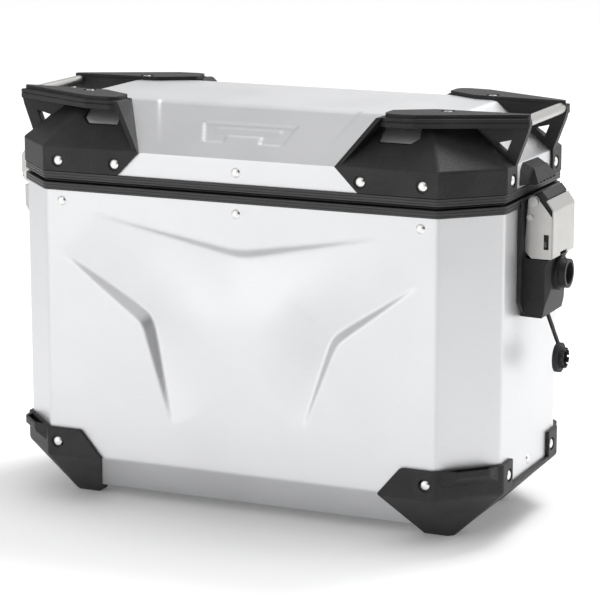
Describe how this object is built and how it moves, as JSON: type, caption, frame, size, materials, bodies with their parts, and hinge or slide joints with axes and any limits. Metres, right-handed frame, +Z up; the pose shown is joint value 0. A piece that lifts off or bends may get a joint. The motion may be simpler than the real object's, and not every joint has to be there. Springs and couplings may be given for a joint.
{
  "type": "motorcycle side case",
  "caption": "Hard aluminium motorcycle luggage case with hinged lid, plastic corner guards with lashing handles, draw latch and lock.",
  "frame": {"origin": "middle of the overall box, on the surface the foot guards stand on", "axes": "+X to the latch side, along the length; +Y to the back, where the rack bosses are; +Z up"},
  "size_m": [0.5394, 0.2439, 0.3822],
  "materials": {
    "case_aluminium": "satin anodised sheet",
    "rivet_aluminium": "satin",
    "fastener_steel": "zinc plated",
    "brushed_stainless": "fine brushed",
    "black_rubber": "matte",
    "black_rim": "extruded, satin",
    "black_plastic": "fine grained glass-filled moulding"
  },
  "bodies": {
    "case": {"body_rim": "black_rim", "body_rivets": "rivet_aluminium", "body_shell": "case_aluminium", "dust_cap": "black_rubber", "foot_guard_front_left": "black_plastic", "foot_guard_front_right": "black_plastic", "foot_guard_rear_left": "black_plastic", "foot_guard_rear_right": "black_plastic", "foot_guard_rivets": "rivet_aluminium", "hinge_bracket": "brushed_stainless", "hinge_pin": "fastener_steel", "latch_bracket": "brushed_stainless", "latch_bracket_screws": "fastener_steel", "latch_housing": "black_plastic", "latch_pivot_pin": "fastener_steel", "rack_bosses": "black_plastic", "sill_left": "black_plastic", "sill_right": "black_plastic"},
    "lid": {"handle_guard_front_left": "black_plastic", "handle_guard_front_right": "black_plastic", "handle_guard_rear_left": "black_plastic", "handle_guard_rear_right": "black_plastic", "handle_rivets": "rivet_aluminium", "handle_screws": "fastener_steel", "lid_catch": "black_plastic", "lid_hinge_leaf": "brushed_stainless", "lid_rim": "black_rim", "lid_rivets": "rivet_aluminium", "lid_seal": "black_rubber", "lid_shell": "case_aluminium", "tie_bar_left": "brushed_stainless", "tie_bar_right": "brushed_stainless"},
    "latch_lever": {"latch_cover": "brushed_stainless", "latch_core": "black_plastic"},
    "lock": {"lock_cylinder": "fastener_steel", "lock_cam": "fastener_steel"}
  },
  "joints": [
    {"name": "lid_hinge", "type": "hinge", "parent": "case", "child": "lid", "pos_m": [-0.26175, 0, 0.2935], "axis": [0, -1, 0], "range_deg": [0, 95]},
    {"name": "latch_pivot", "type": "hinge", "parent": "case", "child": "latch_lever", "pos_m": [0.24505, 0, 0.302], "axis": [0, -1, 0], "range_deg": [0, 70]},
    {"name": "lock_turn", "type": "hinge", "parent": "case", "child": "lock", "pos_m": [0.23375, 0, 0.2346], "axis": [1, 0, 0], "range_deg": [0, 90]}
  ]
}
